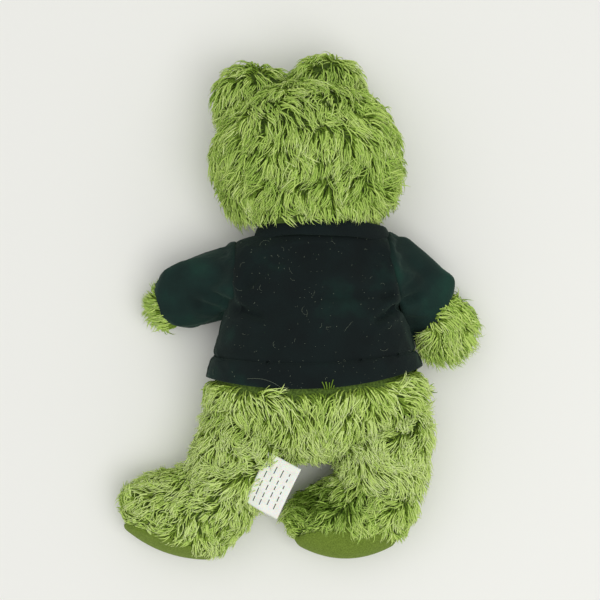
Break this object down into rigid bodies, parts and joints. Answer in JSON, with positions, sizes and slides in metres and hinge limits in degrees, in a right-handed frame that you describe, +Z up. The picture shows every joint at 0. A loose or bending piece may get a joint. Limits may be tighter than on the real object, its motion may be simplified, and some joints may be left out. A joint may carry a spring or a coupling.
{
  "type": "plush frog",
  "caption": "Shaggy stuffed frog toy in a felt sweatshirt, lying face down, with a head, arms, legs and feet that swing at their seams and a ribbon label at the crotch.",
  "frame": {"origin": "middle of the flat belly, on the surface that the toy lies on", "axes": "+Y from the feet to the crown of the head, +Z up through the back, +X to the toy's own right while it lies face down"},
  "size_m": [0.174, 0.2513, 0.0696],
  "materials": {
    "fur": "shaggy yarn pile, matt",
    "stuffing": "polyester fibre fill",
    "shirt_felt": "brushed felt with lint",
    "sole_velour": "short smooth pile",
    "label_ribbon": "woven satin ribbon",
    "eye_plastic": "polished",
    "washer_plastic": "moulded",
    "face_thread": "embroidery thread",
    "pellets": "bag of plastic pellets"
  },
  "bodies": {
    "trunk": {"torso_back_panel": "fur", "torso_front_panel": "fur", "torso_stuffing": "stuffing", "pellet_bag": "pellets", "shirt_back_panel": "shirt_felt", "shirt_front_panel": "shirt_felt", "shirt_neckband": "shirt_felt", "shirt_hem_band": "shirt_felt"},
    "head": {"head_back_panel": "fur", "head_face_panel": "fur", "head_stuffing": "stuffing", "eye_mound_left": "fur", "mound_stuffing_left": "stuffing", "eye_left": "eye_plastic", "eye_washer_left": "washer_plastic", "eye_mound_right": "fur", "mound_stuffing_right": "stuffing", "eye_right": "eye_plastic", "eye_washer_right": "washer_plastic", "mouth_stitch": "face_thread", "nostril_left": "face_thread", "nostril_right": "face_thread"},
    "arm_left": {"arm_casing_left": "fur", "arm_stuffing_left": "stuffing", "sleeve_left": "shirt_felt"},
    "arm_right": {"arm_casing_right": "fur", "arm_stuffing_right": "stuffing", "sleeve_right": "shirt_felt"},
    "leg_left": {"leg_casing_left": "fur", "leg_stuffing_left": "stuffing"},
    "leg_right": {"leg_casing_right": "fur", "leg_stuffing_right": "stuffing"},
    "foot_left": {"foot_casing_left": "fur", "foot_stuffing_left": "stuffing", "sole_pad_left": "sole_velour"},
    "foot_right": {"foot_casing_right": "fur", "foot_stuffing_right": "stuffing", "sole_pad_right": "sole_velour"},
    "label_flap": {"label": "label_ribbon"}
  },
  "joints": [
    {"name": "neck_tilt", "type": "hinge", "parent": "trunk", "child": "head", "pos_m": [0.008, 0.044, 0.034], "axis": [0, 0, 1], "range_deg": [-20, 5], "stiffness_Nm_per_rad": 0.04},
    {"name": "shoulder_left", "type": "hinge", "parent": "trunk", "child": "arm_left", "pos_m": [-0.029, 0.015, 0.031], "axis": [0, 0, -1], "range_deg": [-12, 35], "stiffness_Nm_per_rad": 0.008},
    {"name": "shoulder_right", "type": "hinge", "parent": "trunk", "child": "arm_right", "pos_m": [0.05, 0.015, 0.031], "axis": [0, 0, 1], "range_deg": [-4, 50], "stiffness_Nm_per_rad": 0.008},
    {"name": "hip_left", "type": "hinge", "parent": "trunk", "child": "leg_left", "pos_m": [-0.022, -0.066, 0.0235], "axis": [0, 0, -1], "range_deg": [-5, 30], "stiffness_Nm_per_rad": 0.015},
    {"name": "hip_right", "type": "hinge", "parent": "trunk", "child": "leg_right", "pos_m": [0.044, -0.064, 0.0235], "axis": [0, 0, 1], "range_deg": [-5, 30], "stiffness_Nm_per_rad": 0.015},
    {"name": "ankle_left", "type": "hinge", "parent": "leg_left", "child": "foot_left", "pos_m": [-0.03803, -0.09801, 0.021], "axis": [0, 0, 1], "range_deg": [-12, 25], "stiffness_Nm_per_rad": 0.008},
    {"name": "ankle_right", "type": "hinge", "parent": "leg_right", "child": "foot_right", "pos_m": [0.04251, -0.09807, 0.021], "axis": [0, 0, 1], "range_deg": [-5, 25], "stiffness_Nm_per_rad": 0.008},
    {"name": "label_lift", "type": "hinge", "parent": "trunk", "child": "label_flap", "pos_m": [-0.005, -0.0768, 0.0466], "axis": [-0.8606, 0.4481, -0.2419], "range_deg": [0, 60], "stiffness_Nm_per_rad": 0.0004}
  ]
}
